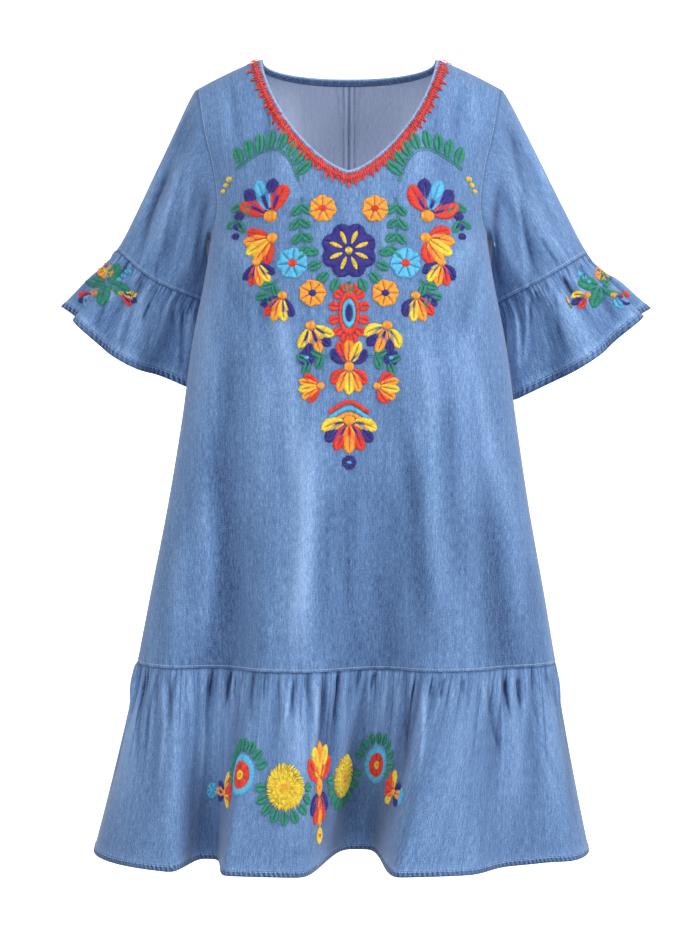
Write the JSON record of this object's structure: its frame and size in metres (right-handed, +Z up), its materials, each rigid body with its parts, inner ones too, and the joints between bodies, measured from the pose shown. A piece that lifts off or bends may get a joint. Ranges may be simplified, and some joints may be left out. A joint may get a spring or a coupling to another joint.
{
  "type": "peasant dress",
  "caption": "Hollow knee-length denim dress, filled out as worn, with a bound V neck, short sleeves with gathered ruffles and a deep gathered hem ruffle.",
  "frame": {"origin": "midway between the two neck points of the shoulders, at their height, where the wearer's shoulders hold the dress", "axes": "+Z up, the front faces -Y, +X is the wearer's left"},
  "size_m": [0.7306, 0.309, 0.9412],
  "materials": {
    "denim": "washed light blue denim twill",
    "denim_binding": "washed light blue denim twill, folded and stitched"
  },
  "bodies": {
    "root": {"front_panel": "denim", "back_panel_left": "denim", "back_panel_right": "denim", "sleeve_left": "denim", "sleeve_right": "denim", "sleeve_ruffle_left": "denim", "sleeve_ruffle_right": "denim", "hem_ruffle_front": "denim", "hem_ruffle_back": "denim", "neck_binding": "denim_binding"}
  },
  "joints": []
}
